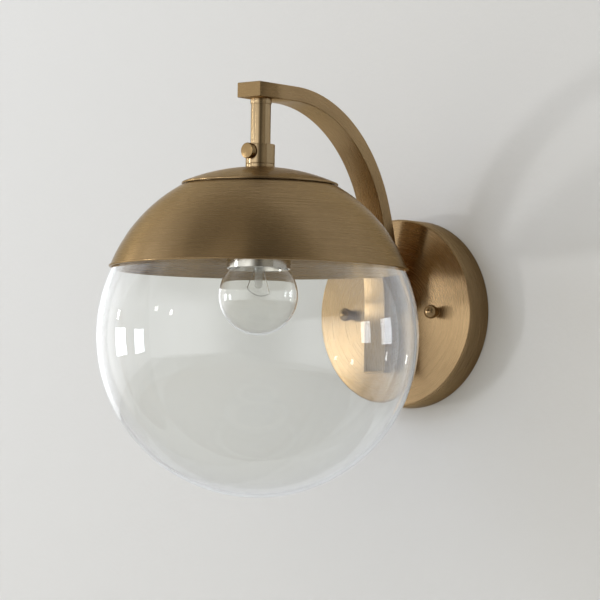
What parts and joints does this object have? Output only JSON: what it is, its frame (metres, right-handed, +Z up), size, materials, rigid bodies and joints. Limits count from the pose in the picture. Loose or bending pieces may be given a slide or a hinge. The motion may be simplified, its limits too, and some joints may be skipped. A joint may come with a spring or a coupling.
{
  "type": "globe wall sconce",
  "caption": "Wall sconce with a clear glass globe under a domed metal hood, hung from a square-section arm that curves down to a round backplate.",
  "frame": {"origin": "middle of the backplate on the wall, between the two box slots of the wall strap", "axes": "+Y into the wall, +Z up, +X to the right as seen from the room"},
  "size_m": [0.2032, 0.2611, 0.2615],
  "materials": {
    "brushed_brass": "brushed and lacquered, warm antique tone",
    "clear_glass": "clear blown glass",
    "polished_nickel": "polished nickel plating",
    "zinc_steel": "bright zinc plating",
    "glazed_porcelain": "glazed white",
    "silicone": "matt, milky",
    "bulb_glass": "clear, thin",
    "bulb_cap_metal": "bright rolled",
    "black_glass": "black glass",
    "bare_brass": "plain, bright",
    "solder": "dull solder",
    "black_insulation": "smooth wire insulation",
    "white_insulation": "smooth wire insulation"
  },
  "bodies": {
    "fixture": {"backplate": "brushed_brass", "wall_strap": "zinc_steel", "strap_studs": "zinc_steel", "stud_lock_nuts": "zinc_steel", "ground_screw": "bare_brass", "standoff_boss": "brushed_brass", "arm_nipple": "zinc_steel", "nipple_washer": "zinc_steel", "nipple_lock_nut": "zinc_steel", "arm": "brushed_brass", "arm_end_plates": "brushed_brass", "arm_ring": "brushed_brass", "stem_tube": "brushed_brass", "stem_pipe": "zinc_steel", "fitter_lock_nut": "zinc_steel", "socket_lock_nut": "zinc_steel", "glass_fitter": "zinc_steel", "set_screws": "zinc_steel", "fitter_gasket": "silicone", "glass_globe": "clear_glass", "socket_cup": "polished_nickel", "socket_body": "glazed_porcelain", "socket_shell": "bare_brass", "socket_contact": "bare_brass", "terminal_screws": "bare_brass", "live_wire": "black_insulation", "neutral_wire": "white_insulation"},
    "hood": {"dome": "brushed_brass", "top_cap": "brushed_brass", "neck_bush": "brushed_brass", "bush_lock_nut": "zinc_steel"},
    "swivel_collar": {"collar": "brushed_brass"},
    "thumb_shank": {"thumb_screw_shank": "zinc_steel"},
    "thumb_knob": {"thumb_screw_knob": "brushed_brass"},
    "left_washer": {"left_nut_washer": "brushed_brass"},
    "left_nut": {"left_ball_nut": "brushed_brass"},
    "right_washer": {"right_nut_washer": "brushed_brass"},
    "right_nut": {"right_ball_nut": "brushed_brass"},
    "bulb_tip": {"bulb_contact": "solder", "bulb_insulator": "black_glass"},
    "bulb": {"bulb_envelope": "bulb_glass", "bulb_cap": "bulb_cap_metal", "bulb_mount": "bulb_glass", "bulb_lead_wires": "bulb_cap_metal", "bulb_filament": "bulb_cap_metal"}
  },
  "joints": [
    {"name": "hood_slide", "type": "slide", "parent": "fixture", "child": "hood", "axis": [0, 0, 1], "range_m": [0, 0.0255]},
    {"name": "collar_turn", "type": "hinge", "parent": "hood", "child": "swivel_collar", "pos_m": [0, -0.1595, 0.09539], "axis": [0, 0, 1], "continuous": true},
    {"name": "thumb_screw_travel", "type": "slide", "parent": "swivel_collar", "child": "thumb_shank", "axis": [0, -1, 0], "range_m": [0, 0.0021]},
    {"name": "thumb_screw_turn", "type": "hinge", "parent": "thumb_shank", "child": "thumb_knob", "pos_m": [0, -0.171, 0.09539], "axis": [0, -1, 0], "range_deg": [0, 1080]},
    {"name": "left_nut_travel", "type": "slide", "parent": "fixture", "child": "left_washer", "axis": [0, -1, 0], "range_m": [0, 0.00317]},
    {"name": "left_nut_turn", "type": "hinge", "parent": "left_washer", "child": "left_nut", "pos_m": [-0.03492, -0.026, 0], "axis": [0, -1, 0], "range_deg": [0, 1440]},
    {"name": "right_nut_travel", "type": "slide", "parent": "fixture", "child": "right_washer", "axis": [0, -1, 0], "range_m": [0, 0.00317]},
    {"name": "right_nut_turn", "type": "hinge", "parent": "right_washer", "child": "right_nut", "pos_m": [0.03492, -0.026, 0], "axis": [0, -1, 0], "range_deg": [0, 1440]},
    {"name": "bulb_travel", "type": "slide", "parent": "fixture", "child": "bulb_tip", "axis": [0, 0, -1], "range_m": [0, 0.01996]},
    {"name": "bulb_turn", "type": "hinge", "parent": "bulb_tip", "child": "bulb", "pos_m": [0, -0.1595, 0.0046], "axis": [0, 0, -1], "range_deg": [0, 1980]}
  ],
  "couplings": [
    {"joint": "thumb_screw_turn", "follows": "thumb_screw_travel", "rad_per_m": 8975.9},
    {"joint": "left_nut_turn", "follows": "left_nut_travel", "rad_per_m": 7915.8},
    {"joint": "right_nut_turn", "follows": "right_nut_travel", "rad_per_m": 7915.8},
    {"joint": "bulb_travel", "follows": "bulb_turn", "m_per_rad": 0.0005775}
  ]
}
